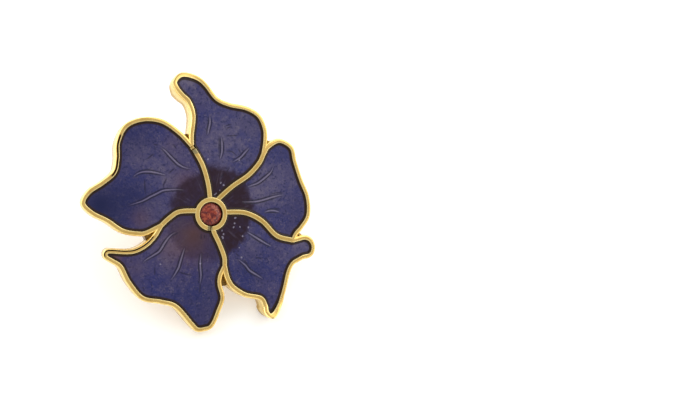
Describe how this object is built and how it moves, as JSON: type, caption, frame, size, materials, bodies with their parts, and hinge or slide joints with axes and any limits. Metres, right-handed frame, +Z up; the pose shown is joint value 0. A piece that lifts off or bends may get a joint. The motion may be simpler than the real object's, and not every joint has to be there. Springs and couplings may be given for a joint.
{
  "type": "flower stud earring",
  "caption": "Gilt five-petal flower stud with dark blue-mauve enamel petals, raised veins, a round red centre stone and a plain ear post.",
  "frame": {"origin": "middle of the resting earring's outline, on the surface that it lies on", "axes": "+Z up from the surface; +X across the flower towards its right petal; +Y towards the raised top petal, away from a viewer in front of the lower petals"},
  "size_m": [0.0283, 0.0274, 0.0168],
  "materials": {
    "gilt": "polished gilding, slightly worn on the rim tops",
    "enamel": "glossy, cloudy dark blue and mauve",
    "stone": "faceted and polished, dark red over foil",
    "post": "plain gilded wire, polished"
  },
  "bodies": {
    "root": {"gilt_body": "gilt", "enamel_top": "enamel", "enamel_right": "enamel", "enamel_lower_right": "enamel", "enamel_lower_left": "enamel", "enamel_left": "enamel", "centre_stone": "stone", "ear_post": "post"}
  },
  "joints": []
}
